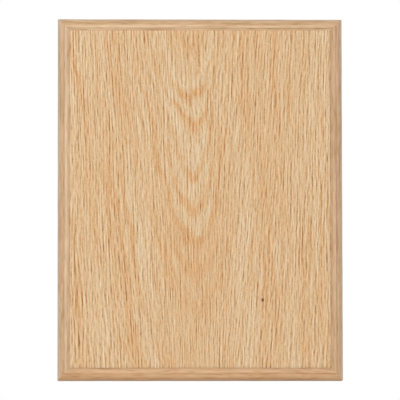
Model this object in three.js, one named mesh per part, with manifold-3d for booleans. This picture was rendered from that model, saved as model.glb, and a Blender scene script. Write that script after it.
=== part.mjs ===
// A blank oak plaque, upright, in millimetres.
// +Z is up, +X is to the right of someone looking at the front, and the front faces -Y.
// The origin is where the wall screw's axis meets the wall once the plaque hangs upright.
// A fibreboard core carries a veneer on each side. Four mitred oak mouldings hold its edge by a tongue
// in a groove, with a loose spline in each mitre. Two keyhole plates in the back hang the plaque upright
// or sideways.
// Every piece is drawn about the centre of the back. The whole is then moved so that it hangs from the origin.
import * as THREE from "three";
import { mergeVertices } from "three/addons/utils/BufferGeometryUtils.js";
import Module from "manifold-3d";

const wasm = await Module();
wasm.setup();

// Overall size: a standard 11 by 14 inch plaque of 3/4 inch stock
const INCH = 25.4;
const WIDTH = 11 * INCH;
const HEIGHT = 14 * INCH;
const THICKNESS = 0.75 * INCH;
const VENEER_THICKNESS = 0.6;
const GLUE_LINE = 0.2; // the gap between two glued faces

// Moulding section: insets are measured in from the outer side, and depths back from the front
const MOULDING_WIDTH = 12;
const BEAD_INSET = 6.3; // the bead's outer face
const BEAD_CREST = 8.1;
const BEAD_END = 9.8; // where its inner rounding meets the band
const BEAD_DROP = 0.9; // how far back its outer rounding reaches
const BAND_DEPTH = 0.5; // the flat band between the bead and the veneered field
const STEP_DEPTH = 1.7; // where the ovolo starts
const QUIRK_WIDTH = 0.4; // the narrow flat at the bead's foot
const OVOLO_END_DEPTH = 9; // where the ovolo runs out into the side
const BACK_ARRIS_RADIUS = 1;
const TONGUE_DEPTH = 7.5;
const TONGUE_THICKNESS = 4;
const TONGUE_LENGTH = 5;

// Splines: flat keys that cross the mitres behind the tongue
const SPLINE_LENGTH = 8.5; // along the mitre
const SPLINE_WIDTH = 5.5; // across it, half in each moulding
const SPLINE_THICKNESS = 2.5;
const SPLINE_INSET = 6.4; // its middle, in from both outer sides
const SPLINE_DEPTH = 14.4; // its middle, back from the front

// Keyhole plates: long axis in the direction of hanging, round ends, offsets counted from the plate's middle
const PLATE_EDGE_DISTANCE = 42; // from the plaque's edge to the plate's middle
const PLATE_LENGTH = 44;
const PLATE_WIDTH = 16;
const PLATE_THICKNESS = 1.6;
const ENTRY_RADIUS = 5; // the round hole for the head of a wall screw
const ENTRY_OFFSET = -5;
const SLOT_RADIUS = 2.5; // the slot above it for the shank
const SLOT_END_OFFSET = 6.5;
const POCKET_RADIUS = 5.6; // the routed slot behind the plate, for the head
const POCKET_DEPTH = 11;

// Screws that hold the plates: 90 degree countersunk heads with a cross recess
const SCREW_OFFSET = 17.5; // from the plate's middle
const SCREW_LENGTH = 12.5;
const SCREW_HEAD_RADIUS = 2.9;
const SCREW_SHANK_RADIUS = 1.45;
const SCREW_TIP_LENGTH = 2.5;
const RECESS_LENGTH = 3.2;
const RECESS_WIDTH = 0.7;
const RECESS_DEPTH = 0.9;

// Felt wall bumpers
const BUMPER_RADIUS = 5;
const BUMPER_THICKNESS = 1.8;
const BUMPER_ROUNDING = 0.5;
const BUMPER_EDGE_DISTANCE = 22;

// Fineness
const ARC_SEGMENTS = 14;
const ROUND_SEGMENTS = 32;
const CUT_THROUGH = 1; // how far a cutter reaches past a face that it opens

const FINISHES = {
  face_oak: { color: 0xdab68b, roughness: 0.5, metalness: 0 },
  moulding_oak: { color: 0xcda881, roughness: 0.45, metalness: 0 },
  back_oak: { color: 0xd2b088, roughness: 0.65, metalness: 0 },
  fibreboard: { color: 0xa9845c, roughness: 0.9, metalness: 0 },
  beech: { color: 0xd9b893, roughness: 0.7, metalness: 0 },
  plate_steel: { color: 0xb9bbbc, roughness: 0.35, metalness: 1 },
  screw_steel: { color: 0xc4bfae, roughness: 0.3, metalness: 1 },
  felt: { color: 0x5a4636, roughness: 1, metalness: 0 },
};

function piece(name, geometry, finish) {
  const mesh = new THREE.Mesh(geometry, new THREE.MeshStandardMaterial(FINISHES[finish]));
  mesh.name = name;
  return mesh;
}

// Cutting

function solidOf(geometry) {
  const bare = geometry.clone();
  bare.deleteAttribute("normal");
  bare.deleteAttribute("uv");
  const merged = mergeVertices(bare, 1e-4);
  return new wasm.Manifold(
    new wasm.Mesh({
      numProp: 3,
      vertProperties: new Float32Array(merged.attributes.position.array),
      triVerts: new Uint32Array(merged.index.array),
    }),
  );
}

function cut(geometry, cutters) {
  const left = cutters.reduce((whole, cutter) => whole.subtract(solidOf(cutter)), solidOf(geometry));
  const mesh = left.getMesh();
  const result = new THREE.BufferGeometry();
  result.setAttribute("position", new THREE.BufferAttribute(mesh.vertProperties, 3));
  result.setIndex(new THREE.BufferAttribute(mesh.triVerts, 1));
  result.computeVertexNormals();
  return result;
}

// Basic shapes

function rectangle(width, height) {
  const shape = new THREE.Shape();
  shape.moveTo(-width / 2, -height / 2);
  shape.lineTo(width / 2, -height / 2);
  shape.lineTo(width / 2, height / 2);
  shape.lineTo(-width / 2, height / 2);
  return shape;
}

// An upright outline with round ends about two centres
function roundEnded(radius, lowCentre, highCentre) {
  const shape = new THREE.Shape();
  shape.absarc(0, highCentre, radius, 0, Math.PI, false);
  shape.absarc(0, lowCentre, radius, Math.PI, 2 * Math.PI, false);
  return shape;
}

// An outline in X and Z made solid, from one depth in front of the back to a greater one
function slab(shape, nearDepth, farDepth) {
  const geometry = new THREE.ExtrudeGeometry(shape, {
    depth: farDepth - nearDepth,
    bevelEnabled: false,
    curveSegments: ROUND_SEGMENTS / 2,
  });
  return geometry.rotateX(Math.PI / 2).translate(0, -nearDepth, 0);
}

// Mouldings

// The section: x is the inset from the outer side, y the height above the back.
function mouldingSection() {
  const stepHeight = THICKNESS - STEP_DEPTH;
  const ovoloWidth = BEAD_INSET - QUIRK_WIDTH;
  const ovoloHeight = OVOLO_END_DEPTH - STEP_DEPTH;
  const tongueFront = THICKNESS - TONGUE_DEPTH;
  const tongueBack = tongueFront - TONGUE_THICKNESS;
  const bandHeight = THICKNESS - BAND_DEPTH;
  const beadHeight = THICKNESS - BEAD_DROP;
  const beadWidth = BEAD_CREST - BEAD_INSET;
  const top = Math.PI / 2;
  const outward = Math.PI;
  const shape = new THREE.Shape();
  shape.moveTo(BACK_ARRIS_RADIUS, 0);
  shape.lineTo(MOULDING_WIDTH, 0);
  shape.lineTo(MOULDING_WIDTH, tongueBack);
  shape.lineTo(MOULDING_WIDTH + TONGUE_LENGTH, tongueBack);
  shape.lineTo(MOULDING_WIDTH + TONGUE_LENGTH, tongueFront);
  shape.lineTo(MOULDING_WIDTH, tongueFront);
  shape.lineTo(MOULDING_WIDTH, bandHeight);
  shape.lineTo(BEAD_END, bandHeight);
  shape.absellipse(BEAD_CREST, bandHeight, BEAD_END - BEAD_CREST, BAND_DEPTH, 0, top, false, 0);
  shape.absellipse(BEAD_CREST, beadHeight, beadWidth, BEAD_DROP, top, outward, false, 0);
  shape.lineTo(BEAD_INSET, stepHeight);
  shape.absellipse(ovoloWidth, stepHeight - ovoloHeight, ovoloWidth, ovoloHeight, top, outward, false, 0);
  shape.absarc(BACK_ARRIS_RADIUS, BACK_ARRIS_RADIUS, BACK_ARRIS_RADIUS, outward, outward + top, false);
  return shape;
}

// A moulding as it lies along the bottom edge, its outer side at z = 0 and its middle at x = 0.
// Each end slopes back by as much as the point is inset, which makes the mitre.
function mouldingStick(length) {
  const geometry = new THREE.ExtrudeGeometry(mouldingSection(), {
    depth: length,
    bevelEnabled: false,
    curveSegments: ARC_SEGMENTS,
  });
  const position = geometry.attributes.position;
  for (let i = 0; i < position.count; i++) {
    const slope = position.getX(i) + GLUE_LINE / Math.SQRT2;
    const end = Math.sign(position.getZ(i) - length / 2);
    position.setZ(i, end * (length / 2 - slope));
  }
  const inward = new THREE.Vector3(0, 0, 1);
  const forward = new THREE.Vector3(0, -1, 0);
  const along = new THREE.Vector3(1, 0, 0);
  geometry.applyMatrix4(new THREE.Matrix4().makeBasis(inward, forward, along));
  return cut(geometry, [-1, 1].map((end) => splineSlot(length, end)));
}

function splineBlock(clearance) {
  return new THREE.BoxGeometry(
    SPLINE_LENGTH + 2 * clearance,
    SPLINE_THICKNESS + 2 * clearance,
    SPLINE_WIDTH + 2 * clearance,
  );
}

function splineSlot(length, end) {
  const block = splineBlock(GLUE_LINE).rotateY((end * Math.PI) / 4);
  return block.translate(end * (length / 2 - SPLINE_INSET), SPLINE_DEPTH - THICKNESS, SPLINE_INSET);
}

// A moulding set in place: the bottom stick turned round the plaque's centre by quarter turns
function placedMoulding(name, quarterTurns, length, distance) {
  const stick = piece(name, mouldingStick(length), "moulding_oak");
  stick.position.z = -distance;
  const turned = new THREE.Group();
  turned.rotation.y = (quarterTurns * Math.PI) / 2;
  turned.add(stick);
  return turned;
}

function mouldings() {
  return [
    placedMoulding("moulding_bottom", 0, WIDTH, HEIGHT / 2),
    placedMoulding("moulding_left", 1, HEIGHT, WIDTH / 2),
    placedMoulding("moulding_top", 2, WIDTH, HEIGHT / 2),
    placedMoulding("moulding_right", 3, HEIGHT, WIDTH / 2),
  ];
}

// The four corners, for what is in each of them
const CORNERS = [
  { name: "top_left", x: -1, z: 1 },
  { name: "top_right", x: 1, z: 1 },
  { name: "bottom_left", x: -1, z: -1 },
  { name: "bottom_right", x: 1, z: -1 },
];

function mitreSpline(corner) {
  const spline = piece("mitre_spline_" + corner.name, splineBlock(0), "beech");
  spline.rotation.y = (-corner.x * corner.z * Math.PI) / 4;
  spline.position.set(
    corner.x * (WIDTH / 2 - SPLINE_INSET),
    SPLINE_DEPTH - THICKNESS,
    corner.z * (HEIGHT / 2 - SPLINE_INSET),
  );
  return spline;
}

function wallBumper(corner) {
  const rim = BUMPER_THICKNESS - BUMPER_ROUNDING;
  const profile = new THREE.Path();
  profile.moveTo(0, 0);
  profile.lineTo(BUMPER_RADIUS, 0);
  profile.absarc(BUMPER_RADIUS - BUMPER_ROUNDING, rim, BUMPER_ROUNDING, 0, Math.PI / 2, false);
  profile.lineTo(0, BUMPER_THICKNESS);
  const geometry = new THREE.LatheGeometry(profile.getPoints(4), ROUND_SEGMENTS);
  const bumper = piece("wall_bumper_" + corner.name, geometry, "felt");
  bumper.position.set(
    corner.x * (WIDTH / 2 - BUMPER_EDGE_DISTANCE),
    GLUE_LINE,
    corner.z * (HEIGHT / 2 - BUMPER_EDGE_DISTANCE),
  );
  return bumper;
}

// Hangers, each drawn about its plate's middle with the way up along Z

const HANGERS = [
  { name: "top", quarterTurns: 0, x: 0, z: HEIGHT / 2 - PLATE_EDGE_DISTANCE },
  { name: "side", quarterTurns: 1, x: WIDTH / 2 - PLATE_EDGE_DISTANCE, z: 0 },
];

// Moves a cutter from a hanger's own frame to its place in the plaque
function atHanger(hanger, geometry) {
  return geometry.rotateY((hanger.quarterTurns * Math.PI) / 2).translate(hanger.x, 0, hanger.z);
}

// A screw standing in the board with its head level with the back, grown by the given clearance.
// A cutter's head runs on past the back.
function screwBody(clearance, past) {
  const head = SCREW_HEAD_RADIUS + clearance;
  const shank = SCREW_SHANK_RADIUS + clearance;
  const profile = [
    new THREE.Vector2(0, -SCREW_LENGTH - clearance),
    new THREE.Vector2(shank, SCREW_TIP_LENGTH - SCREW_LENGTH),
    new THREE.Vector2(shank, shank - head),
    new THREE.Vector2(head, 0),
  ];
  if (past > 0) profile.push(new THREE.Vector2(head, past));
  profile.push(new THREE.Vector2(0, past));
  return new THREE.LatheGeometry(profile, ROUND_SEGMENTS);
}

function screwHoles() {
  return [-SCREW_OFFSET, SCREW_OFFSET].map((z) => screwBody(GLUE_LINE, CUT_THROUGH).translate(0, 0, z));
}

function crossRecess() {
  const bar = () => new THREE.BoxGeometry(RECESS_LENGTH, 2 * RECESS_DEPTH, RECESS_WIDTH);
  return [bar(), bar().rotateY(Math.PI / 2)];
}

function plateOutline(clearance) {
  const endCentre = (PLATE_LENGTH - PLATE_WIDTH) / 2;
  return roundEnded(PLATE_WIDTH / 2 + clearance, -endCentre, endCentre);
}

function hangerPlate() {
  const far = PLATE_THICKNESS + CUT_THROUGH;
  const entry = slab(roundEnded(ENTRY_RADIUS, ENTRY_OFFSET, ENTRY_OFFSET), -CUT_THROUGH, far);
  const slot = slab(roundEnded(SLOT_RADIUS, ENTRY_OFFSET, SLOT_END_OFFSET), -CUT_THROUGH, far);
  return cut(slab(plateOutline(0), 0, PLATE_THICKNESS), [entry, slot, ...screwHoles()]);
}

// The plate with its two screws, turned and set in place as one group
function placedHanger(hanger) {
  const group = new THREE.Group();
  group.add(piece("hanger_plate_" + hanger.name, hangerPlate(), "plate_steel"));
  [SCREW_OFFSET, -SCREW_OFFSET].forEach((z, i) => {
    const name = "hanger_screw_" + hanger.name + "_" + (i + 1);
    const screw = piece(name, cut(screwBody(0, 0), crossRecess()), "screw_steel");
    screw.position.z = z;
    group.add(screw);
  });
  group.rotation.y = (hanger.quarterTurns * Math.PI) / 2;
  group.position.set(hanger.x, 0, hanger.z);
  return group;
}

// What is routed out of the back for one hanger
function hangerCuts(hanger) {
  const seat = slab(plateOutline(GLUE_LINE), -CUT_THROUGH, PLATE_THICKNESS + GLUE_LINE);
  const pocket = slab(roundEnded(POCKET_RADIUS, ENTRY_OFFSET, SLOT_END_OFFSET), -CUT_THROUGH, POCKET_DEPTH);
  return [seat, pocket, ...screwHoles()].map((cutter) => atHanger(hanger, cutter));
}

// Board

const FIELD_WIDTH = WIDTH - 2 * MOULDING_WIDTH - 2 * GLUE_LINE;
const FIELD_HEIGHT = HEIGHT - 2 * MOULDING_WIDTH - 2 * GLUE_LINE;

function grooves() {
  const near = THICKNESS - TONGUE_DEPTH - TONGUE_THICKNESS - GLUE_LINE;
  const far = THICKNESS - TONGUE_DEPTH + GLUE_LINE;
  const inner = MOULDING_WIDTH + TONGUE_LENGTH + GLUE_LINE;
  const groove = (span) => {
    const reach = inner - MOULDING_WIDTH + CUT_THROUGH;
    return slab(rectangle(span, reach), near, far);
  };
  const middle = (inner + MOULDING_WIDTH - CUT_THROUGH) / 2;
  return [-1, 1].flatMap((side) => [
    groove(WIDTH).translate(0, 0, side * (HEIGHT / 2 - middle)),
    groove(HEIGHT).rotateY(Math.PI / 2).translate(side * (WIDTH / 2 - middle), 0, 0),
  ]);
}

function coreBoard() {
  const near = VENEER_THICKNESS + GLUE_LINE;
  const board = slab(rectangle(FIELD_WIDTH, FIELD_HEIGHT), near, THICKNESS - near);
  return cut(board, [...grooves(), ...HANGERS.flatMap(hangerCuts)]);
}

function faceVeneer() {
  return slab(rectangle(FIELD_WIDTH, FIELD_HEIGHT), THICKNESS - VENEER_THICKNESS, THICKNESS);
}

function backVeneer() {
  return cut(slab(rectangle(FIELD_WIDTH, FIELD_HEIGHT), 0, VENEER_THICKNESS), HANGERS.flatMap(hangerCuts));
}

const board = new THREE.Group();
board.add(
  piece("face_veneer", faceVeneer(), "face_oak"),
  piece("core_board", coreBoard(), "fibreboard"),
  piece("back_veneer", backVeneer(), "back_oak"),
  ...mouldings(),
  ...CORNERS.map(mitreSpline),
  ...HANGERS.map(placedHanger),
  ...CORNERS.map(wallBumper),
);

board.position.set(0, -(GLUE_LINE + BUMPER_THICKNESS), -(HEIGHT / 2 - PLATE_EDGE_DISTANCE + SLOT_END_OFFSET));

const plaque = new THREE.Group();
plaque.add(board);

export default plaque;
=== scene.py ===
"""The blank oak plaque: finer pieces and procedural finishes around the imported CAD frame, in metres."""

import math

import bmesh
import bpy
import numpy as np
from mathutils import Matrix, Vector


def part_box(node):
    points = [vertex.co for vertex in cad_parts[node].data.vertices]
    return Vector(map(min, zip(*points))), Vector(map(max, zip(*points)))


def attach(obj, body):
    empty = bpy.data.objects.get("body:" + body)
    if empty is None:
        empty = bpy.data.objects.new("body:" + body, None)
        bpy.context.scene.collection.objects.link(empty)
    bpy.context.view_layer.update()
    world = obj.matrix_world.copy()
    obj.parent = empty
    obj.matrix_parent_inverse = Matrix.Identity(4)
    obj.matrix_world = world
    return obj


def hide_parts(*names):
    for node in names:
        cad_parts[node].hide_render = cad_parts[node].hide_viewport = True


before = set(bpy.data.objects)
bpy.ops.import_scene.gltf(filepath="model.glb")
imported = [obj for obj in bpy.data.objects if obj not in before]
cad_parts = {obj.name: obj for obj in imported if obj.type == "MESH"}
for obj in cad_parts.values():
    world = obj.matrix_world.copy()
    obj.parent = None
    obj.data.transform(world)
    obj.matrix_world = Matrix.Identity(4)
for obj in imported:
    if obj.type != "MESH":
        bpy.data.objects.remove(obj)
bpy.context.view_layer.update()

MM = 0.001
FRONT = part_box("face_veneer")[0].y
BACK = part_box("back_veneer")[1].y
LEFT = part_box("moulding_left")[0].x
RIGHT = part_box("moulding_right")[1].x
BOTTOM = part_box("moulding_bottom")[0].z
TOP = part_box("moulding_top")[1].z
CENTRE = Vector(((LEFT + RIGHT) / 2, FRONT, (BOTTOM + TOP) / 2))
HALF_WIDTH = (RIGHT - LEFT) / MM / 2
HALF_HEIGHT = (TOP - BOTTOM) / MM / 2
CORNERS = ("top_left", "top_right", "bottom_left", "bottom_right")
rng = np.random.default_rng(417)


# Meshes

def new_piece(name, vertices, faces, smooth_angle=32):
    """A piece of the plaque made from vertices in the row frame, its faces turned outwards."""
    mesh = bpy.data.meshes.new(name)
    bm = bmesh.new()
    made = [bm.verts.new(v) for v in vertices]
    for face in faces:
        bm.faces.new([made[i] for i in face])
    bmesh.ops.recalc_face_normals(bm, faces=bm.faces)
    bm.to_mesh(mesh)
    bm.free()
    return placed(name, mesh, smooth_angle)


def placed(name, mesh, smooth_angle=32):
    mesh.name = name
    piece = bpy.data.objects.new(name, mesh)
    bpy.context.scene.collection.objects.link(piece)
    smooth(piece, smooth_angle)
    return piece


def smooth(piece, angle):
    """Smooth shading with sharp edges above an angle, kept in the mesh itself."""
    mesh = piece.data
    mesh.shade_smooth()
    mesh.set_sharp_from_angle(angle=math.radians(angle))


def cut(piece, cutters, smooth_angle=32):
    """Takes the cutters out of a piece, and removes them."""
    for cutter in cutters:
        modifier = piece.modifiers.new("cut", "BOOLEAN")
        modifier.operation = "DIFFERENCE"
        modifier.solver = "EXACT"
        modifier.object = cutter
    graph = bpy.context.evaluated_depsgraph_get()
    mesh = bpy.data.meshes.new_from_object(piece.evaluated_get(graph))
    piece.modifiers.clear()
    piece.data = mesh
    mesh.name = piece.name
    for cutter in cutters:
        bpy.data.objects.remove(cutter)
    smooth(piece, smooth_angle)


def box_cutter(size, matrix):
    bm = bmesh.new()
    bmesh.ops.create_cube(bm, size=1, matrix=matrix @ Matrix.Diagonal((*size, 1)))
    mesh = bpy.data.meshes.new("cutter")
    bm.to_mesh(mesh)
    bm.free()
    cutter = bpy.data.objects.new("cutter", mesh)
    bpy.context.scene.collection.objects.link(cutter)
    return cutter


def ring_faces(rows, columns, closed=True):
    """Quads between neighbouring rows of vertices that run round or along a surface."""
    faces = []
    for row in range(rows - 1):
        here, above = row * columns, (row + 1) * columns
        for c in range(columns if closed else columns - 1):
            after = (c + 1) % columns
            faces.append((here + c, here + after, above + after, above + c))
    return faces


def capped(vertices, rows, segments, first_middle, last_middle):
    """A turned shape's rings of vertices closed by a fan round the middle of each end."""
    faces = ring_faces(rows, segments)
    first, last, final_ring = len(vertices), len(vertices) + 1, (rows - 1) * segments
    faces += [(first, (i + 1) % segments, i) for i in range(segments)]
    faces += [(last, final_ring + i, final_ring + (i + 1) % segments) for i in range(segments)]
    return vertices + [first_middle, last_middle], faces


def ring(radius, y, segments):
    """Vertices round the Y axis."""
    turns = [2 * math.pi * i / segments for i in range(segments)]
    return [Vector((radius * math.cos(a), y, radius * math.sin(a))) for a in turns]


# Mouldings

MOULDING_WIDTH = 12.0
BEAD_INSET = 6.3
BEAD_CREST = 8.1
BEAD_END = 9.8
BEAD_DROP = 0.9
BAND_DEPTH = 0.5
STEP_DEPTH = 1.7
QUIRK_WIDTH = 0.4
OVOLO_END = 9.0
THICKNESS = (BACK - FRONT) / MM
TONGUE_FRONT = 7.5
TONGUE_BACK = 11.5
TONGUE_REACH = 17.0
EASED_ARRIS = 0.12
COVE_RADIUS = 0.75
BACK_ROUNDING = 1.0
TONGUE_ROUNDING = 0.4
CORNER_ROUNDING = 1.3
MITRE_GAP = 0.03
MITRE_PRESS = 0.07
# Rows of the mesh, as distances from the mitre, then evenly along the stick
END_ROWS = (0, 0.07, 0.18, 0.34, 0.52, 0.72, 0.95, 1.3, 2, 4, 9)
MIDDLE_ROWS, MIDDLE_START = 44, 24
# Planing waves along a stick: how many, and the ranges of their lengths and heights
WAVES, WAVE_LENGTHS, WAVE_HEIGHTS = 5, (25, 90), (0.01, 0.03)
FULL_TURN = 6.28
SPLINE_SLOT = (8.9, 2.9, 5.9)


def fillet(before, corner, after, radius, steps=5):
    """Points of a rounded corner of the section."""
    a, c, b = (np.array(p, float) for p in (before, corner, after))
    into, out = (a - c) / np.linalg.norm(a - c), (b - c) / np.linalg.norm(b - c)
    half = math.acos(max(-1, min(1, into @ out))) / 2
    reach = radius / math.tan(half)
    middle = c + (into + out) / np.linalg.norm(into + out) * radius / math.sin(half)
    start, end = c + into * reach - middle, c + out * reach - middle
    points = []
    for i in range(steps + 1):
        blend = start * (1 - i / steps) + end * (i / steps)
        points.append(tuple(middle + blend / np.linalg.norm(blend) * radius))
    return points


def quarter(centre, radii, start, end, steps):
    """Points of an elliptical quarter, angles in degrees from the inward direction towards the front."""
    angles = np.radians(np.linspace(start, end, steps))
    return [(centre[0] + radii[0] * math.cos(a), centre[1] - radii[1] * math.sin(a)) for a in angles]


def moulding_section():
    """The section as (inset, depth) in millimetres, from the inner front arris out and round the back."""
    foot = BEAD_INSET - QUIRK_WIDTH
    inner_rounding = BEAD_END - BEAD_CREST
    t = THICKNESS
    points = fillet((MOULDING_WIDTH, 7), (MOULDING_WIDTH, BAND_DEPTH), (BEAD_END, BAND_DEPTH), EASED_ARRIS)
    points += [((BEAD_END + MOULDING_WIDTH) / 2, BAND_DEPTH), (BEAD_END, BAND_DEPTH)]
    points += quarter((BEAD_CREST, BAND_DEPTH), (inner_rounding, BAND_DEPTH), 20, 80, 9)
    points += quarter((BEAD_CREST, BEAD_DROP), (BEAD_CREST - BEAD_INSET, BEAD_DROP), 90, 180, 16)
    points += fillet((BEAD_INSET, 1), (BEAD_INSET, STEP_DEPTH), (0, STEP_DEPTH), COVE_RADIUS)
    points += quarter((foot, OVOLO_END), (foot, OVOLO_END - STEP_DEPTH), 98, 180, 26)
    points += [(0, 12), (0, 15)]
    points += fillet((0, OVOLO_END), (0, t), (9, t), BACK_ROUNDING, 6)
    points += [(4, t), (8, t)]
    points += fillet((4, t), (MOULDING_WIDTH, t), (MOULDING_WIDTH, 13), EASED_ARRIS)
    points += [(MOULDING_WIDTH, TONGUE_BACK)]
    points += fillet((13, TONGUE_BACK), (TONGUE_REACH, TONGUE_BACK), (TONGUE_REACH, 9), TONGUE_ROUNDING)
    points += fillet((TONGUE_REACH, 10), (TONGUE_REACH, TONGUE_FRONT), (13, TONGUE_FRONT), TONGUE_ROUNDING)
    points += [(MOULDING_WIDTH, TONGUE_FRONT)]
    return np.array(points)


def section_normals(section):
    """Outward normals of the closed section, for pressing a surface in."""
    tangent = np.roll(section, -1, 0) - np.roll(section, 1, 0)
    normal = np.stack([-tangent[:, 1], tangent[:, 0]], 1)
    normal /= np.linalg.norm(normal, axis=1)[:, None]
    area = np.sum(section[:, 0] * np.roll(section[:, 1], -1) - np.roll(section[:, 0], -1) * section[:, 1])
    return normal if area < 0 else -normal


def moulding(name, length, at, seed):
    """A mitred moulding. at(along, inset, depth) gives a point of the row frame."""
    section = moulding_section()
    normals = section_normals(section)
    half = length / 2
    draws = np.random.default_rng(seed)
    waves = [
        (draws.uniform(*WAVE_LENGTHS), draws.uniform(0, FULL_TURN), draws.uniform(*WAVE_HEIGHTS))
        for _ in range(WAVES)
    ]
    inset, depth = section[:, 0], section[:, 1]
    rounding = CORNER_ROUNDING
    meet = np.where(inset < rounding, rounding - (rounding - inset) / math.sqrt(2), inset)

    def row(end, distance, pressed=0.0):
        """One row of the section, each of its points at its own distance from the plaque's corner."""
        within = np.clip(rounding - distance, 0, None)
        reach = np.clip(rounding - inset, 0, None)
        bent = rounding - np.sqrt(np.clip(reach**2 - within**2, 0, None))
        u = np.where((inset < rounding) & (within > 0), bent, inset)
        shift = sum(height * np.sin(distance / w * FULL_TURN + phase) for w, phase, height in waves)
        shift = np.clip(shift + 0.04, 0, None) * np.clip((distance - 3) / 20, 0, 1)
        shift = np.where(inset < BEAD_INSET, shift, shift * 0.3)
        shift = np.where((depth > TONGUE_FRONT - 0.1) & (inset > 11.5), 0, shift) + pressed
        return end * (half - distance), u - normals[:, 0] * shift, depth - normals[:, 1] * shift

    def mitred(end):
        """The rows next to one mitre, the outermost pressed in so that the joint shows as a fine line."""
        return [row(end, meet + MITRE_GAP + step, 0.0 if step else MITRE_PRESS) for step in END_ROWS]

    middle = [
        row(math.copysign(1, position), np.full(len(section), half - abs(position)))
        for position in np.linspace(MIDDLE_START - half, half - MIDDLE_START, MIDDLE_ROWS)
    ]
    rows = mitred(-1) + middle + mitred(1)[::-1]
    vertices = [at(a * MM, u * MM, v * MM) for row_points in rows for a, u, v in zip(*row_points)]
    columns = len(section)
    faces = ring_faces(len(rows), columns)
    faces.append(tuple(range(columns)))
    faces.append(tuple(range((len(rows) - 1) * columns, len(rows) * columns)))
    return new_piece(name, vertices, faces, 40)


# Each side's length, and where a point along it, at an inset and a depth, lies in the row frame
SIDES = {
    "bottom": (2 * HALF_WIDTH, lambda a, u, v: Vector((CENTRE.x + a, FRONT + v, BOTTOM + u))),
    "top": (2 * HALF_WIDTH, lambda a, u, v: Vector((CENTRE.x + a, FRONT + v, TOP - u))),
    "left": (2 * HALF_HEIGHT, lambda a, u, v: Vector((LEFT + u, FRONT + v, CENTRE.z + a))),
    "right": (2 * HALF_HEIGHT, lambda a, u, v: Vector((RIGHT - u, FRONT + v, CENTRE.z + a))),
}
# The corners at each side's ends, as signs of x and z
SIDE_CORNERS = {
    "bottom": [(-1, -1), (1, -1)],
    "top": [(-1, 1), (1, 1)],
    "left": [(-1, -1), (-1, 1)],
    "right": [(1, -1), (1, 1)],
}


def spline_slot(side_x, side_z):
    """The slot that one corner's spline sits in, with its glue line."""
    corner = f"{'top' if side_z > 0 else 'bottom'}_{'right' if side_x > 0 else 'left'}"
    lo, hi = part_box("mitre_spline_" + corner)
    turn = Matrix.Rotation(-side_x * side_z * math.pi / 4, 4, "Y")
    return box_cutter([size * MM for size in SPLINE_SLOT], Matrix.Translation((lo + hi) / 2) @ turn)


mouldings = {}
for seed, (side, (length, at)) in enumerate(SIDES.items()):
    stick = moulding("oak_moulding_" + side, length, at, 40 + seed)
    cut(stick, [spline_slot(*corner) for corner in SIDE_CORNERS[side]], 40)
    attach(stick, "root")
    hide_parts("moulding_" + side)
    mouldings[side] = stick


# Face veneer: a thin sheet with eased edges whose surface is never quite flat

VENEER_GAP = 0.05
VENEER_THICKNESS = 0.6
VENEER_EASE = 0.06
VENEER_MARGIN = 3


def stations(reach, count):
    """Positions across the sheet: its eased edges, and evenly between them."""
    inside = np.linspace(VENEER_MARGIN - reach, reach - VENEER_MARGIN, count)
    return np.concatenate([[-reach, VENEER_EASE - reach], inside, [reach - VENEER_EASE, reach]])


def face_sheet():
    reach_x = HALF_WIDTH - MOULDING_WIDTH - VENEER_GAP
    reach_z = HALF_HEIGHT - MOULDING_WIDTH - VENEER_GAP
    grid_x, grid_z = np.meshgrid(stations(reach_x, 84), stations(reach_z, 108))
    hollow = 0.012 * (1 + np.sin(grid_x / 17 + 1.3 * np.sin(grid_z / 53)))
    hollow += 0.008 * (1 + np.sin(grid_z / 41 + grid_x / 29 + 2))
    edge = np.minimum(reach_x - np.abs(grid_x), reach_z - np.abs(grid_z))
    hollow *= np.clip(edge / 12, 0, 1)
    hollow[edge < VENEER_EASE / 2] = VENEER_EASE
    places = zip(grid_x.ravel(), hollow.ravel(), grid_z.ravel())
    points = [CENTRE + Vector(place) * MM for place in places]
    rows, columns = grid_x.shape
    faces = ring_faces(rows, columns, closed=False)
    rim = list(range(columns))
    rim += [r * columns + columns - 1 for r in range(1, rows)]
    rim += [(rows - 1) * columns + c for c in range(columns - 2, -1, -1)]
    rim += [r * columns for r in range(rows - 2, 0, -1)]
    first = len(points)
    points += [Vector((points[i].x, FRONT + VENEER_THICKNESS * MM, points[i].z)) for i in rim]
    count = len(rim)
    faces += [(rim[i], rim[(i + 1) % count], first + (i + 1) % count, first + i) for i in range(count)]
    faces.append(tuple(range(first, first + count)))
    return new_piece("oak_face_veneer", points, faces, 50)


veneer = face_sheet()
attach(veneer, "root")
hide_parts("face_veneer")


# Hangers: everything is drawn about the middle of a plate's outer face, with the way up along Z

PLATE_THICKNESS = 1.6
PLATE_EASE = 0.16
ENTRY_OFFSET, ENTRY_RADIUS = -5.0, 5.0
SLOT_END, SLOT_RADIUS = 6.5, 2.5
SCREW_OFFSET = 17.5
PLATE_END, PLATE_END_RADIUS = 14, 8
SCREW_HOLE_RADIUS = 1.65
HEAD_RADIUS, SHANK_RADIUS = 2.9, 1.45
SCREW_LENGTH, SCREW_POINT = 12.5, 3.0
THREAD_START, THREAD_PITCH, THREAD_HEIGHT = 2.2, 1.1, 0.38


def arc(centre_z, radius, start, end, steps):
    """Points of an arc about a centre on the plate's long axis, angles in degrees from +X."""
    angles = np.radians(np.linspace(start, end, steps))
    return [(radius * math.cos(a), centre_z + radius * math.sin(a)) for a in angles]


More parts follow.
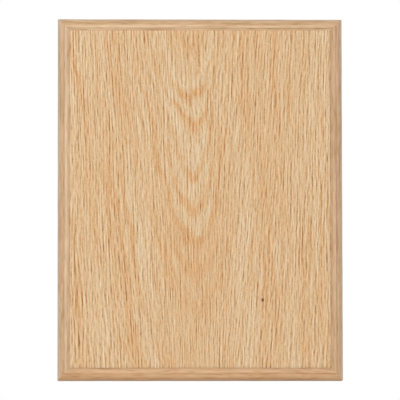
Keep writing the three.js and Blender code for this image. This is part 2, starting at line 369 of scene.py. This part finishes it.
def hanger_plate(name):
    """A stamped plate: a filled outline with a keyhole and two screw holes, its arrises eased."""
    curve = bpy.data.curves.new(name, "CURVE")
    curve.dimensions = "2D"
    curve.fill_mode = "BOTH"
    curve.extrude = PLATE_THICKNESS / 2 - PLATE_EASE
    curve.bevel_depth = PLATE_EASE
    curve.bevel_resolution = 3
    curve.offset = -PLATE_EASE
    opening = math.degrees(math.acos(SLOT_RADIUS / ENTRY_RADIUS))
    entry = arc(ENTRY_OFFSET, ENTRY_RADIUS, 180 - opening, 360 + opening, 61)
    outlines = [
        arc(PLATE_END, PLATE_END_RADIUS, 0, 180, 49) + arc(-PLATE_END, PLATE_END_RADIUS, 180, 360, 49),
        entry + arc(SLOT_END, SLOT_RADIUS, 0, 180, 33),
        arc(SCREW_OFFSET, SCREW_HOLE_RADIUS, 0, 350, 36),
        arc(-SCREW_OFFSET, SCREW_HOLE_RADIUS, 0, 350, 36),
    ]
    for outline in outlines:
        spline = curve.splines.new("POLY")
        spline.points.add(len(outline) - 1)
        spline.use_cyclic_u = True
        for point, (x, z) in zip(spline.points, outline):
            point.co = (x, z, 0, 1)
    flat = bpy.data.objects.new(name + "_outline", curve)
    bpy.context.scene.collection.objects.link(flat)
    graph = bpy.context.evaluated_depsgraph_get()
    mesh = bpy.data.meshes.new_from_object(flat.evaluated_get(graph))
    bpy.data.objects.remove(flat)
    # The outline lies in XY: it is stood up, its thickness reaching from the back into the board.
    stand = Matrix.Rotation(math.pi / 2, 4, "X")
    mesh.transform(Matrix.Translation((0, -PLATE_THICKNESS / 2, 0)) @ stand)
    bm = bmesh.new()
    bm.from_mesh(mesh)
    bmesh.ops.remove_doubles(bm, verts=bm.verts, dist=0.001)
    bmesh.ops.recalc_face_normals(bm, faces=bm.faces)
    bm.to_mesh(mesh)
    bm.free()
    plate = placed(name, mesh)
    cut(plate, [sink(z) for z in (-SCREW_OFFSET, SCREW_OFFSET)])
    return plate


def sink(z):
    """A countersink for a screw head, open towards the back."""
    wall = [(1.6, -1.62), (HEAD_RADIUS + 0.15, -0.1), (HEAD_RADIUS + 0.3, 0.05), (HEAD_RADIUS + 0.5, 0.5)]
    segments = 48
    vertices = [v for r, y in wall for v in ring(r, y, segments)]
    vertices, faces = capped(vertices, len(wall), segments, Vector((0, -1.62, 0)), Vector((0, 0.5, 0)))
    cutter = new_piece("cutter", vertices, faces)
    cutter.data.transform(Matrix.Translation((0, 0, z)))
    return cutter


def screw(name):
    """A countersunk screw, its head level with the back, with a real thread on its shank."""
    segments = 40
    core = SHANK_RADIUS - THREAD_HEIGHT
    crown = [(1.2, 0), (2.4, 0), (HEAD_RADIUS - 0.16, -0.02), (HEAD_RADIUS - 0.04, -0.1)]
    head = crown + [(HEAD_RADIUS, -0.22), (2.75, -0.36), (2.1, -1.0), (1.5, -1.6), (1.2, -2.0)]
    depths = np.arange(THREAD_START, SCREW_LENGTH - 0.15, THREAD_PITCH / 9)
    vertices = [v for r, y in head for v in ring(r, y, segments)]
    for depth in depths:
        taper = min(1, (SCREW_LENGTH - depth) / SCREW_POINT)
        grown = min(1, (depth - THREAD_START) / 1.5)
        for i in range(segments):
            turn = (depth / THREAD_PITCH - i / segments) % 1
            crest = max(0, 1 - abs(turn - 0.5) / 0.32) ** 0.8
            r = (core * taper**0.8 + THREAD_HEIGHT * crest * grown * taper**0.5) + 0.08 * (1 - taper)
            a = 2 * math.pi * i / segments
            vertices.append(Vector((r * math.cos(a), -depth, r * math.sin(a))))
    rows = len(head) + len(depths)
    tip = Vector((0, -SCREW_LENGTH, 0))
    vertices, faces = capped(vertices, rows, segments, Vector((0, 0, 0)), tip)
    made = new_piece(name, vertices, faces, 36)
    cut(made, [cross_arm(turn) for turn in (0, math.pi / 2)], 30)
    return made


def cross_arm(turn):
    """One arm of the cross recess: a wedge, narrower and shorter with depth."""
    half = [(1.75, 0.2), (1.6, -0.05), (0.75, -1.35)]
    outline = [(-x, y) for x, y in half] + [(0, -1.75)] + half[::-1]
    vertices = []
    for side in (-1, 1):
        for x, y in outline:
            width = 0.42 + 0.07 * min(0, y)
            vertices.append(Vector((x, y, side * width)))
    count = len(outline)
    faces = [tuple(range(count)), tuple(range(count, 2 * count))]
    faces += [(i, (i + 1) % count, count + (i + 1) % count, count + i) for i in range(count)]
    arm = new_piece("cutter", vertices, faces)
    arm.data.transform(Matrix.Rotation(turn, 4, "Y"))
    return arm


hanger_pieces = {"plates": [], "screws": []}
for hanger, quarter_turns in (("top", 0), ("side", 1)):
    lo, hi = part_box("hanger_plate_" + hanger)
    middle = Vector(((lo.x + hi.x) / 2, hi.y, (lo.z + hi.z) / 2))
    upright = Matrix.Rotation(quarter_turns * math.pi / 2, 4, "Y")
    stand = Matrix.Translation(middle) @ upright @ Matrix.Diagonal((MM, MM, MM, 1))
    plate = hanger_plate("keyhole_plate_" + hanger)
    plate.data.transform(stand)
    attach(plate, "root")
    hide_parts("hanger_plate_" + hanger)
    hanger_pieces["plates"].append(plate)
    for number, offset in ((1, SCREW_OFFSET), (2, -SCREW_OFFSET)):
        fixing = screw(f"plate_screw_{hanger}_{number}")
        turned = Matrix.Rotation(rng.uniform(0, math.pi), 4, "Y")
        fixing.data.transform(stand @ Matrix.Translation((0, 0, offset)) @ turned)
        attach(fixing, "root")
        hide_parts(f"hanger_screw_{hanger}_{number}")
        hanger_pieces["screws"].append(fixing)


# Felt bumpers: cut discs with soft, slightly ragged rims

FELT_WAVES, FELT_HEIGHTS = 16, (0.005, 0.028)
FELT_ROUNDING = 0.5


def bumper(name, node, seed):
    lo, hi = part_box(node)
    radius, height = (hi.x - lo.x) / 2 / MM, (hi.y - lo.y) / MM
    draws = np.random.default_rng(seed)
    waves = [
        (int(draws.integers(3, 30)), draws.uniform(0, FULL_TURN), draws.uniform(*FELT_HEIGHTS))
        for _ in range(FELT_WAVES)
    ]
    segments = 96

    def fuzz(a, k):
        """How far the cut edge strays, at an angle and a row."""
        return sum(reach * math.sin(n * a + phase + k * 1.7 * n) for n, phase, reach in waves)

    profile = [(radius - 0.1, 0.0), (radius - 0.02, 0.06)]
    profile += [(radius - 0.02, y) for y in np.linspace(0.2, height - 0.55, 5)]
    for a in np.radians(np.linspace(10, 90, 7)):
        r = radius - FELT_ROUNDING + (FELT_ROUNDING - 0.02) * math.cos(a)
        profile.append((r, height - FELT_ROUNDING + FELT_ROUNDING * math.sin(a)))
    profile += [(r, height) for r in np.linspace(radius - 0.8, 0.25, 26)]
    vertices = []
    for k, (r, y) in enumerate(profile):
        for i in range(segments):
            a = 2 * math.pi * i / segments
            rim = max(0, 1 - (radius - r) / 1.2)
            rr = r - abs(fuzz(a, k * 0.13)) * rim
            dip = 0.0
            if y > height - 0.02:
                dip = 0.05 * abs(math.sin(r * 5.1 + 2 * fuzz(a, r)) * math.sin(7 * a + r * 3))
            vertices.append(Vector((rr * math.cos(a), y - dip, rr * math.sin(a))))
    middle = Vector((0, height - 0.02, 0))
    vertices, faces = capped(vertices, len(profile), segments, Vector((0, 0, 0)), middle)
    at = Matrix.Translation(((lo.x + hi.x) / 2, lo.y, (lo.z + hi.z) / 2))
    placed_at = at @ Matrix.Diagonal((MM, MM, MM, 1))
    made = new_piece(name, [placed_at @ v for v in vertices], faces, 60)
    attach(made, "root")
    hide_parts(node)
    return made


bumpers = [
    bumper("felt_bumper_" + corner, "wall_bumper_" + corner, 70 + i)
    for i, corner in enumerate(CORNERS)
]


# The boards and splines keep their CAD shapes, with their arrises eased

EASES = {"core_board": 0.12, "back_veneer": 0.06}
EASES.update({"mitre_spline_" + corner: 0.3 for corner in CORNERS})

for node, ease in EASES.items():
    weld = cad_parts[node].modifiers.new("joined", "WELD")
    weld.merge_threshold = 0.001 * MM
    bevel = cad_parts[node].modifiers.new("eased", "BEVEL")
    bevel.width = ease * MM
    bevel.segments = 3
    bevel.limit_method = "ANGLE"
    bevel.angle_limit = math.radians(50)


# Finishes

class Value:
    """A number in a material's node graph, written as ordinary arithmetic."""

    def __init__(self, tree, source):
        self.tree, self.source = tree, source

    def of(self, operation, *others, clamp=False):
        """Another operation of the Math node, on this value and others."""
        node = self.tree.nodes.new("ShaderNodeMath")
        node.operation = operation
        node.use_clamp = clamp
        for slot, value in zip(node.inputs, (self, *others)):
            if isinstance(value, Value):
                self.tree.links.new(value.source, slot)
            else:
                slot.default_value = value
        return Value(self.tree, node.outputs[0])

    def __add__(self, other):
        return self.of("ADD", other)

    def __sub__(self, other):
        return self.of("SUBTRACT", other)

    def __mul__(self, other):
        return self.of("MULTIPLY", other)

    def __truediv__(self, other):
        return self.of("DIVIDE", other)

    def __pow__(self, other):
        return self.of("POWER", other)

    __radd__ = __add__
    __rmul__ = __mul__

    def clamped(self):
        return self.of("ADD", 0.0, clamp=True)

    def between(self, low, high):
        """0 at low, 1 at high, smooth between them."""
        node = self.tree.nodes.new("ShaderNodeMapRange")
        node.interpolation_type = "SMOOTHSTEP"
        self.tree.links.new(self.source, node.inputs["Value"])
        node.inputs["From Min"].default_value = low
        node.inputs["From Max"].default_value = high
        return Value(self.tree, node.outputs["Result"])


class Finish:
    """A material being built: one Principled shader and the graph that feeds it."""

    def __init__(self, name):
        self.material = bpy.data.materials.new(name)
        self.material.use_nodes = True
        self.tree = self.material.node_tree
        self.shader = self.tree.nodes["Principled BSDF"]
        place = self.tree.nodes.new("ShaderNodeTexCoord")
        parts = self.tree.nodes.new("ShaderNodeSeparateXYZ")
        self.tree.links.new(place.outputs["Object"], parts.inputs[0])
        # x, y and z run in millimetres from the middle of the plaque's front
        self.x = (Value(self.tree, parts.outputs[0]) - CENTRE.x) / MM
        self.y = (Value(self.tree, parts.outputs[1]) - CENTRE.y) / MM
        self.z = (Value(self.tree, parts.outputs[2]) - CENTRE.z) / MM

    def vector(self, *values):
        node = self.tree.nodes.new("ShaderNodeCombineXYZ")
        for slot, value in zip(node.inputs, values):
            if isinstance(value, Value):
                self.tree.links.new(value.source, slot)
            else:
                slot.default_value = value
        return node.outputs[0]

    def noise(self, *where, detail=1.0, roughness=0.5):
        """Noise with a mean of 0 and a spread of about 1, changing over 1 unit of where."""
        node = self.tree.nodes.new("ShaderNodeTexNoise")
        node.inputs["Scale"].default_value = 1.0
        node.inputs["Detail"].default_value = detail
        node.inputs["Roughness"].default_value = roughness
        self.tree.links.new(self.vector(*where), node.inputs["Vector"])
        return (Value(self.tree, node.outputs["Fac"]) - 0.5) * 8.0

    def ramp(self, factor, stops):
        node = self.tree.nodes.new("ShaderNodeValToRGB")
        elements = node.color_ramp.elements
        while len(elements) < len(stops):
            elements.new(0.5)
        for element, (position, colour) in zip(elements, stops):
            element.position = position
            element.color = (*colour, 1)
        self.tree.links.new(factor.source, node.inputs["Fac"])
        return node.outputs["Color"]

    def mix(self, amount, a, b, kind="MIX"):
        node = self.tree.nodes.new("ShaderNodeMix")
        node.data_type = "RGBA"
        node.blend_type = kind
        if isinstance(amount, Value):
            self.tree.links.new(amount.source, node.inputs["Factor"])
        else:
            node.inputs["Factor"].default_value = amount
        for slot, colour in ((node.inputs[6], a), (node.inputs[7], b)):
            if isinstance(colour, tuple):
                slot.default_value = (*colour, 1)
            else:
                self.tree.links.new(colour, slot)
        return node.outputs[2]

    def finish(self, colour, rough, height=None, relief=0.02, specular=0.5, metallic=0.0, coat=0.0):
        self.tree.links.new(colour, self.shader.inputs["Base Color"])
        self.tree.links.new(rough.clamped().source, self.shader.inputs["Roughness"])
        self.shader.inputs["Specular IOR Level"].default_value = specular
        self.shader.inputs["Metallic"].default_value = metallic
        self.shader.inputs["Coat Weight"].default_value = coat
        self.shader.inputs["Coat Roughness"].default_value = 0.3
        if height is not None:
            bump = self.tree.nodes.new("ShaderNodeBump")
            bump.inputs["Strength"].default_value = 1.0
            bump.inputs["Distance"].default_value = relief * MM
            self.tree.links.new(height.source, bump.inputs["Height"])
            self.tree.links.new(bump.outputs[0], self.shader.inputs["Normal"])
        return self.material


def srgb(r, g, b):
    """A colour given as 0 to 255 display values, in the linear values that shaders take."""
    return tuple(((c / 255 + 0.055) / 1.055) ** 2.4 for c in (r, g, b))


# The log that the face veneer is cut from
RING_WIDTH = 2.9
TAPER = 0.09
PITH_DEPTH = 90.0
PIN_X, PIN_Z = 60.9, -99.2


def face_oak():
    """Flat-sawn oak: the growth rings of a leaning, tapering log cut by the board's face."""
    f = Finish("oak_face")
    x, z = f.x, f.z
    # the log's axis wanders, and its right flank is nearly upright
    wander = f.noise(z / 90, 3.1, 0.0) * 1.2 + f.noise(x / 18, z / 34, 7.7) * 1.5
    upright = x.between(18, 60) * (x.between(80, 125) * -1.0 + 1.0)
    across = x + 6 + z * 0.03 + z * upright * 0.08 + wander
    # a few years' growth near the top was slower
    slow = (((z - 80) / 32).of("POWER", 2.0) * -1.0).of("EXPONENT") * 18
    up = z - slow + f.noise(x / 13, z / 26, 1.9) * 3.2 + f.noise(x / 1.4, z / 22, 31.0) * 1.2
    side = across.of("ABSOLUTE")
    depth = up * -TAPER + PITH_DEPTH
    steepness = across.between(-6, 14) * 0.4 + 1.0
    radius = (depth * depth + side * 2 + side * side * steepness).of("SQRT")
    rings = radius / RING_WIDTH + 0.655
    wave = (rings * (2 * math.pi)).of("COSINE") * 0.5 + 0.5
    each_ring = f.noise(rings.of("ROUND") * 0.71, 5.5, 0.0)
    near = ((side / 40).of("POWER", 2.0) * -1.0).of("EXPONENT")
    reach = z.between(-100, -15) * (z.between(115, 152) * -0.65 + 1.0)
    middle = near * (reach * 0.8 + 0.2)
    arches = (wave ** 1.6) * (each_ring * 0.42 + 1.0) * (f.noise(x / 9, z / 16, 3.6) * 0.22 + 1.0)
    flanks = f.noise(rings * 0.62, z / 260, 2.7) * 1.0 + f.noise(rings * 1.7, z / 130, 9.7) * 1.0
    patches = f.noise(x / 8, z / 40, 6.1) * 0.35 + f.noise(across / 24, z / 120, 15.5) * 0.5
    # low on the left flank the rings are more orange
    stained = (((across + 58) / 18).of("POWER", 2.0) * -1.0).of("EXPONENT") * z.between(30, -60)
    # above 0 where the wood is darker and more orange, below 0 where it is paler
    band = flanks * (near * -0.55 + stained * 0.6 + 1.0) + stained * 0.7 + patches
    band = band + (arches * 3.4 - 1.35) * middle
    # fibres run up the board and lean in a little towards the log's axis
    lean_at = x / 55
    lean = lean_at * ((lean_at * lean_at) * -0.5).of("EXPONENT") * 0.085
    q = x - lean * (z - 20) + f.noise(x / 30, z / 130, 2.2) * 0.7

    def dashes(length, seed):
        here = f.noise(q / 1.3, seed, z / length, detail=0)
        return here - f.noise((q + 1.35) / 1.3, seed, z / length, detail=0)

    waver = f.noise(q / 7, 30.3, z / 120, detail=1)
    strength = f.noise(q / 2.4, 90.7, z / 40, detail=0) * 0.45 + 0.6
    even = ((q / 2.75 + waver * 0.3) * (2 * math.pi)).of("SINE") * strength
    fibre = dashes(9, 17.9) * 0.52 + dashes(26, 23.3) * 0.46 + dashes(120, 4.1) * 0.34 + even * 0.9
    fibre = fibre * (near * -0.15 + 1.05)
    thread = f.noise(q / 0.5, 60.1, z / 4.5, detail=0) + f.noise(q / 0.45, 64.7, z / 14, detail=0)
    thread = thread * 0.75
    pores = (fibre * -0.8 + thread * -0.4 + band * 0.15 - 0.6).of("MAXIMUM", 0.0)
    fleck = f.noise(x / 0.6, 71.3, z / 1.1, detail=0)
    level = fibre * 0.100 + thread * 0.058 + fleck * 0.048 - pores * 0.03 - band * 0.004 + 0.545
    colour = f.ramp(level.clamped(), [
        (0.02, srgb(160, 107, 59)),
        (0.28, srgb(200, 151, 100)),
        (0.5, srgb(222, 184, 138)),
        (0.72, srgb(234, 201, 160)),
        (0.98, srgb(247, 218, 180)),
    ])
    stain = f.mix((band / 6 + 0.5).clamped(), (1.024, 1.130, 1.250), (0.976, 0.870, 0.750))
    colour = f.mix(1.0, colour, stain, "MULTIPLY")
    # redder and paler fibres side by side
    hue = f.noise(x / 1.7, z / 14, 12.1) * 0.16 + 0.5
    colour = f.mix(1.0, colour, f.mix(hue.clamped(), (1.055, 1.0, 0.92), (0.945, 1.0, 1.08)), "MULTIPLY")
    # a pin's mark
    mark_x, mark_z = x - PIN_X, z - PIN_Z
    mark = (mark_x * mark_x + mark_z * mark_z * 0.45).of("SQRT").between(1.7, 0.8)
    colour = f.mix(mark * 0.9, colour, srgb(112, 54, 34))
    rough = fibre * -0.02 + 0.46
    return f.finish(colour, rough, fibre * 0.3 - pores, relief=0.006, specular=0.35)


def stick_oak(side):
    """Straight-grained solid oak, its grain along the stick, with a painted highlight on its bead's crest
    and painted light and shade on its other parts.
    """
    f = Finish("oak_moulding_" + side)
    tones = STICKS[side]
    seed = tones["seed"]
    run, cross, inset = {
        "left": (f.z, f.x, f.x + HALF_WIDTH),
        "right": (f.z, f.x, f.x * -1.0 + HALF_WIDTH),
        "top": (f.x, f.z, f.z * -1.0 + HALF_HEIGHT),
        "bottom": (f.x, f.z, f.z + HALF_HEIGHT),
    }[side]
    cross = cross + f.noise(run / 60, seed * 3.3, 0.0) * 0.6 + run * 0.006
    fibre = f.noise(cross / 1.25, f.y / 1.25 + seed, run / 13, detail=1.0, roughness=0.6)
    streak = f.noise(cross / 3.1, f.y / 3.6 + seed * 1.7, run / 52, detail=1.5)
    cloud = f.noise(cross / 9, seed * 5.1, run / 70)
    pores = (fibre * -1.0 - 0.8).of("MAXIMUM", 0.0)
    level = fibre * 0.09 + streak * 0.08 + cloud * 0.03 - pores * 0.06 + 0.52
    orange = f.ramp(level.clamped(), [(0.1, tones["dark"]), (0.5, tones["ovolo"]), (0.9, tones["pale"])])
    pink = f.ramp(level.clamped(), [(0.1, tones["dark"]), (0.5, tones["bead"]), (0.9, tones["pale"])])
    front = f.y.between(9.5, 7.5)
    colour = f.mix(inset.between(4.6, 6.6) * front, orange, pink)
    # a painted highlight whitens the bead's crest: strong on the lit left and top sides, weak on the right
    # and bottom, and shifted towards the light by shift
    highlight_inset = inset - tones["shift"]
    crest = highlight_inset.between(6.6, 7.2) * (highlight_inset.between(9.0, 9.6) * -1.0 + 1.0) * front
    crest = crest * (f.noise(run / 30, seed, 4.4) * 0.05 + tones["crest"])
    colour = f.mix(crest.clamped(), colour, (1.30, 1.33, 1.38), "MULTIPLY")
    # painted light pales the flat band next to the panel, lifting the shade of the bead's inner rounding
    # and of the step down to the veneer, most on the top
    colour = f.mix(inset.between(9.2, 10.2) * front, colour, (tones["band"],) * 3, "MULTIPLY")
    # painted shade darkens the bottom stick's underside; the other sides' values leave theirs unchanged
    colour = f.mix(f.y.between(7.5, 10.5) * inset.between(1.0, 0.1), colour, tones["side"], "MULTIPLY")
    # painted light pales the bead's foot and the quirk below it, lifting the shade at the step, most on
    # the bottom
    foot = inset.between(5.0, 5.7) * (inset.between(6.3, 6.9) * -1.0 + 1.0) * front
    colour = f.mix(foot, colour, (tones["foot"],) * 3, "MULTIPLY")
    # a painted reflection of the white surround pales and greys the front's outermost part, most on the
    # shaded right side; at the bottom painted shade darkens it a little
    colour = f.mix(inset.between(3.6, 0.6) * front, colour, tones["rim"], "MULTIPLY")
    rough = fibre * -0.02 + 0.40 - crest * 0.06
    return f.finish(colour, rough, fibre * 0.5 - pores, relief=0.010, specular=0.5, coat=0.15)


def back_oak():
    f = Finish("oak_back")
    q = f.x + f.noise(f.z / 90, 4.0, 0.0) * 2.4
    fibre = f.noise(q / 1.3, 3.0, f.z / 12, detail=2.0, roughness=0.6)
    streak = f.noise(q / 7, 8.0, f.z / 90, detail=2)
    thread = f.noise(q / 0.5, 21.0, f.z / 5, detail=0)
    rings = ((q / 9 + f.noise(q / 40, f.z / 190, 1.0) * 0.42) * (2 * math.pi)).of("COSINE")
    pores = (fibre * -0.7 - thread * 0.6 - rings * 0.3 - 0.5).of("MAXIMUM", 0.0)
    level = fibre * 0.06 + streak * 0.05 + rings * 0.035 + thread * 0.05 - pores * 0.07 + 0.5
    colour = f.ramp(level.clamped(), [
        (0.1, srgb(150, 108, 70)), (0.5, srgb(211, 172, 128)), (0.9, srgb(228, 196, 156))])
    return f.finish(colour, fibre * -0.02 + 0.62, fibre * 0.6 - pores, relief=0.015, specular=0.3)


def fibreboard():
    f = Finish("fibreboard")
    speck = f.noise(f.x / 0.5, f.y / 0.4, f.z / 0.5, detail=2)
    patch = f.noise(f.x / 6, f.y / 3, f.z / 6, detail=2)
    level = speck * 0.08 + patch * 0.05 + 0.5
    colour = f.ramp(level.clamped(), [
        (0.1, srgb(112, 84, 56)), (0.5, srgb(160, 126, 90)), (0.9, srgb(188, 156, 118))])
    return f.finish(colour, speck * 0.02 + 0.9, speck, relief=0.03, specular=0.2)


def beech():
    f = Finish("beech")
    ray = f.noise(f.x / 0.5, f.y / 0.5, f.z / 3, detail=1)
    cloud = f.noise(f.x / 4, f.y / 4, f.z / 12, detail=2)
    level = ray * 0.07 + cloud * 0.06 + 0.5
    colour = f.ramp(level.clamped(), [
        (0.1, srgb(176, 134, 98)), (0.5, srgb(214, 180, 144)), (0.9, srgb(230, 200, 166))])
    return f.finish(colour, ray * 0.02 + 0.7, ray, relief=0.01, specular=0.3)


def steel(name, body, worn, dull, seed, gloss):
    """Plated steel: rolling marks, plating clouds, and rubbed brighter in places."""
    f = Finish(name)
    marks = f.noise(f.x / 0.35 + seed, f.y / 0.6, f.z / 3.2, detail=3)
    cloud = f.noise(f.x / 3.4, f.y / 3.4 + seed, f.z / 3.4, detail=3)
    level = marks * 0.05 + cloud * 0.09 + 0.5
    colour = f.ramp(level.clamped(), [(0.12, dull), (0.5, body), (0.88, worn)])
    rough = marks * 0.03 + cloud * -0.035 + gloss
    return f.finish(colour, rough, marks * 0.5 + cloud * 0.3, relief=0.006, metallic=1.0)


def felt():
    f = Finish("felt")
    fibres = f.noise(f.x / 0.16, f.y / 0.16, f.z / 0.16, detail=3, roughness=0.7)
    clumps = f.noise(f.x / 0.9, f.y / 0.9, f.z / 0.9, detail=2)
    level = fibres * 0.08 + clumps * 0.07 + 0.5
    colour = f.ramp(level.clamped(), [
        (0.1, srgb(56, 42, 32)), (0.5, srgb(91, 70, 54)), (0.9, srgb(122, 98, 78))])
    material = f.finish(colour, clumps * 0.01 + 0.96, fibres + clumps, relief=0.08, specular=0.1)
    f.shader.inputs["Sheen Weight"].default_value = 0.25
    return material


def dress(piece, material):
    """Gives a piece, or a CAD node in its own material slot, a finish."""
    if piece.data.materials:
        piece.data.materials[0] = material
    else:
        piece.data.materials.append(material)


# How each moulding differs: its seed and wood colours, the strength and shift of the painted highlight on
# its crest, painted light on its foot and band, painted shade on its underside, and the painted reflection
# on its rim
STICKS = {
    "left": {
        "seed": 1.0, "shift": 0.5, "foot": 1.02, "crest": 1.05, "band": 1.07,
        "side": (1.0, 1.0, 1.0), "rim": (0.97, 1.17, 1.52), "dark": srgb(170, 124, 78),
        "ovolo": srgb(205, 164, 120), "bead": srgb(199, 165, 128), "pale": srgb(226, 192, 156),
    },
    "right": {
        "seed": 2.0, "shift": 0.15, "foot": 1.12, "crest": 0.52, "band": 1.06,
        "side": (1.0, 1.0, 1.0), "rim": (1.12, 1.38, 1.88), "dark": srgb(170, 122, 76),
        "ovolo": srgb(206, 164, 120), "bead": srgb(200, 162, 122), "pale": srgb(224, 188, 150),
    },
    "top": {
        "seed": 3.0, "shift": -0.15, "foot": 1.1, "crest": 1.1, "band": 1.11,
        "side": (1.0, 1.0, 1.0), "rim": (0.97, 1.05, 1.18), "dark": srgb(170, 126, 80),
        "ovolo": srgb(203, 164, 121), "bead": srgb(203, 169, 130), "pale": srgb(226, 194, 156),
    },
    "bottom": {
        "seed": 4.0, "shift": 0.15, "foot": 1.22, "crest": 0.32, "band": 1.02,
        "side": (0.50, 0.50, 0.53), "rim": (1.00, 0.95, 0.90), "dark": srgb(168, 118, 70),
        "ovolo": srgb(216, 167, 118), "bead": srgb(213, 171, 128), "pale": srgb(232, 192, 148),
    },
}
dress(veneer, face_oak())
for side in STICKS:
    dress(mouldings[side], stick_oak(side))
dress(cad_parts["back_veneer"], back_oak())
dress(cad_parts["core_board"], fibreboard())
spline_wood = beech()
for corner in CORNERS:
    dress(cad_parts["mitre_spline_" + corner], spline_wood)
zinc = steel("zinc_plate", (0.56, 0.57, 0.57), (0.70, 0.71, 0.71), (0.40, 0.41, 0.42), 1.0, 0.34)
brassy = steel("screw_plating", (0.60, 0.55, 0.40), (0.72, 0.68, 0.54), (0.42, 0.37, 0.25), 5.0, 0.30)
for plate in hanger_pieces["plates"]:
    dress(plate, zinc)
for fixing in hanger_pieces["screws"]:
    dress(fixing, brassy)
felt_cloth = felt()
for pad in bumpers:
    dress(pad, felt_cloth)


# Stage: a pale floor, a white surround and soft studio light

FLOOR_SIZE, FLOOR_DROP = 2.6, 0.5
bpy.ops.mesh.primitive_plane_add(size=FLOOR_SIZE, location=(CENTRE.x, 0, BOTTOM - FLOOR_DROP))
floor = bpy.context.object
floor.name = "floor"
paint = bpy.data.materials.new("floor_paint")
paint.use_nodes = True
painted = paint.node_tree.nodes["Principled BSDF"].inputs
painted["Base Color"].default_value = (0.7, 0.69, 0.675, 1)
painted["Roughness"].default_value = 0.8
floor.data.materials.append(paint)


def surround():
    """White wherever the camera sees it, and a dimmer gradient, bright above and dim below, as light."""
    world = bpy.data.worlds.new("surround")
    world.use_nodes = True
    tree = world.node_tree
    tree.nodes.clear()
    output = tree.nodes.new("ShaderNodeOutputWorld")
    choose = tree.nodes.new("ShaderNodeMixShader")
    seen = tree.nodes.new("ShaderNodeLightPath")
    white = tree.nodes.new("ShaderNodeBackground")
    white.inputs["Color"].default_value = (1, 1, 1, 1)
    light = tree.nodes.new("ShaderNodeBackground")
    light.inputs["Strength"].default_value = 0.65
    place = tree.nodes.new("ShaderNodeTexCoord")
    parts = tree.nodes.new("ShaderNodeSeparateXYZ")
    spread = tree.nodes.new("ShaderNodeMapRange")
    spread.inputs["From Min"].default_value = -0.8
    spread.inputs["From Max"].default_value = 0.15
    spread.inputs["To Min"].default_value = 0.08
    spread.inputs["To Max"].default_value = 1.0
    tree.links.new(place.outputs["Generated"], parts.inputs[0])
    tree.links.new(parts.outputs[2], spread.inputs["Value"])
    tree.links.new(spread.outputs[0], light.inputs["Color"])
    tree.links.new(seen.outputs["Is Camera Ray"], choose.inputs[0])
    tree.links.new(light.outputs[0], choose.inputs[1])
    tree.links.new(white.outputs[0], choose.inputs[2])
    tree.links.new(choose.outputs[0], output.inputs[0])
    bpy.context.scene.world = world


def softbox(name, place, size, watts):
    lamp = bpy.data.lights.new(name, "AREA")
    lamp.shape = "DISK"
    lamp.size = size
    lamp.energy = watts
    box = bpy.data.objects.new(name, lamp)
    bpy.context.scene.collection.objects.link(box)
    box.location = CENTRE + Vector(place)
    box.rotation_mode = "QUATERNION"
    box.rotation_quaternion = (CENTRE - box.location).to_track_quat("-Z", "Y")


surround()
softbox("key", (-1.3, -1.6, 0.9), 1.2, 19.4)
softbox("fill", (1.5, -1.7, 0.4), 1.2, 8)
bpy.context.scene.view_settings.view_transform = "Standard"


# Camera: a little left of square on and a little low, far away

AZIMUTH, ELEVATION, ROLL = -1.6, -4.7, -0.08
DISTANCE = 4.2
PIXELS_PER_METRE = 1021.3
FRAME_PIXELS = 400
OFF_CENTRE = Vector((-0.00032, 0.0, -0.00120))


def camera():
    data = bpy.data.cameras.new("camera")
    seen = bpy.data.objects.new("camera", data)
    bpy.context.scene.collection.objects.link(seen)
    azimuth, elevation = math.radians(AZIMUTH), math.radians(ELEVATION)
    level = math.cos(elevation)
    back = Vector((math.sin(azimuth) * level, -math.cos(azimuth) * level, math.sin(elevation)))
    data.sensor_width = 36
    data.lens = PIXELS_PER_METRE * DISTANCE / FRAME_PIXELS * data.sensor_width
    data.clip_end = 50
    seen.location = CENTRE + back * DISTANCE + OFF_CENTRE
    seen.rotation_mode = "QUATERNION"
    aimed = (-back).to_track_quat("-Z", "Y")
    seen.rotation_quaternion = aimed @ Matrix.Rotation(math.radians(ROLL), 4, "Z").to_quaternion()
    bpy.context.scene.camera = seen


camera()
